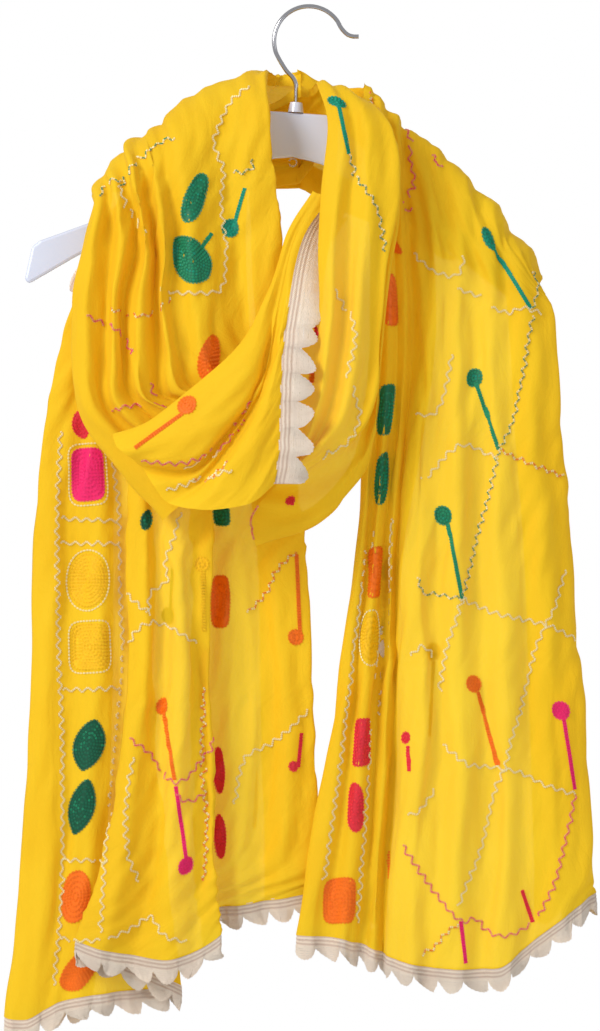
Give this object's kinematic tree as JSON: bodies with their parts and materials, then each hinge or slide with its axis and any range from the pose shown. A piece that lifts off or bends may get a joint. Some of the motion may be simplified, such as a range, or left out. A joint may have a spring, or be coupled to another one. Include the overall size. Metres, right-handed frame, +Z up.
{
  "type": "dupatta stole on coat hanger",
  "caption": "Long sheer stole with lace edging, looped once over a moulded coat hanger so that a cowl hangs in front and both ends fall as pleated tails.",
  "frame": {"origin": "the inside of the top of the hook, where it hangs on a rail", "axes": "+Z up, +Y away from the viewer's side (the front faces -Y), +X to the right seen from the front"},
  "size_m": [0.4779, 0.1529, 0.8344],
  "materials": {
    "chrome": "polished chrome",
    "white_plastic": "glossy white",
    "clear_plastic": "clear, glossy",
    "yellow_georgette": "sheer matt crepe, embroidered in chain stitch",
    "cream_lace": "crocheted cotton lace, matt"
  },
  "bodies": {
    "root": {"hook": "chrome", "hanger_body": "white_plastic", "hanger_collar": "white_plastic", "strap_loop": "clear_plastic", "tail_left": "yellow_georgette", "tail_right": "yellow_georgette", "cowl_left": "yellow_georgette", "cowl_right": "yellow_georgette", "cowl_roll": "yellow_georgette", "lace_hem_left": "cream_lace", "lace_hem_right": "cream_lace", "lace_cowl": "cream_lace", "lace_side_right": "cream_lace", "lace_shoulder": "cream_lace"}
  },
  "joints": []
}
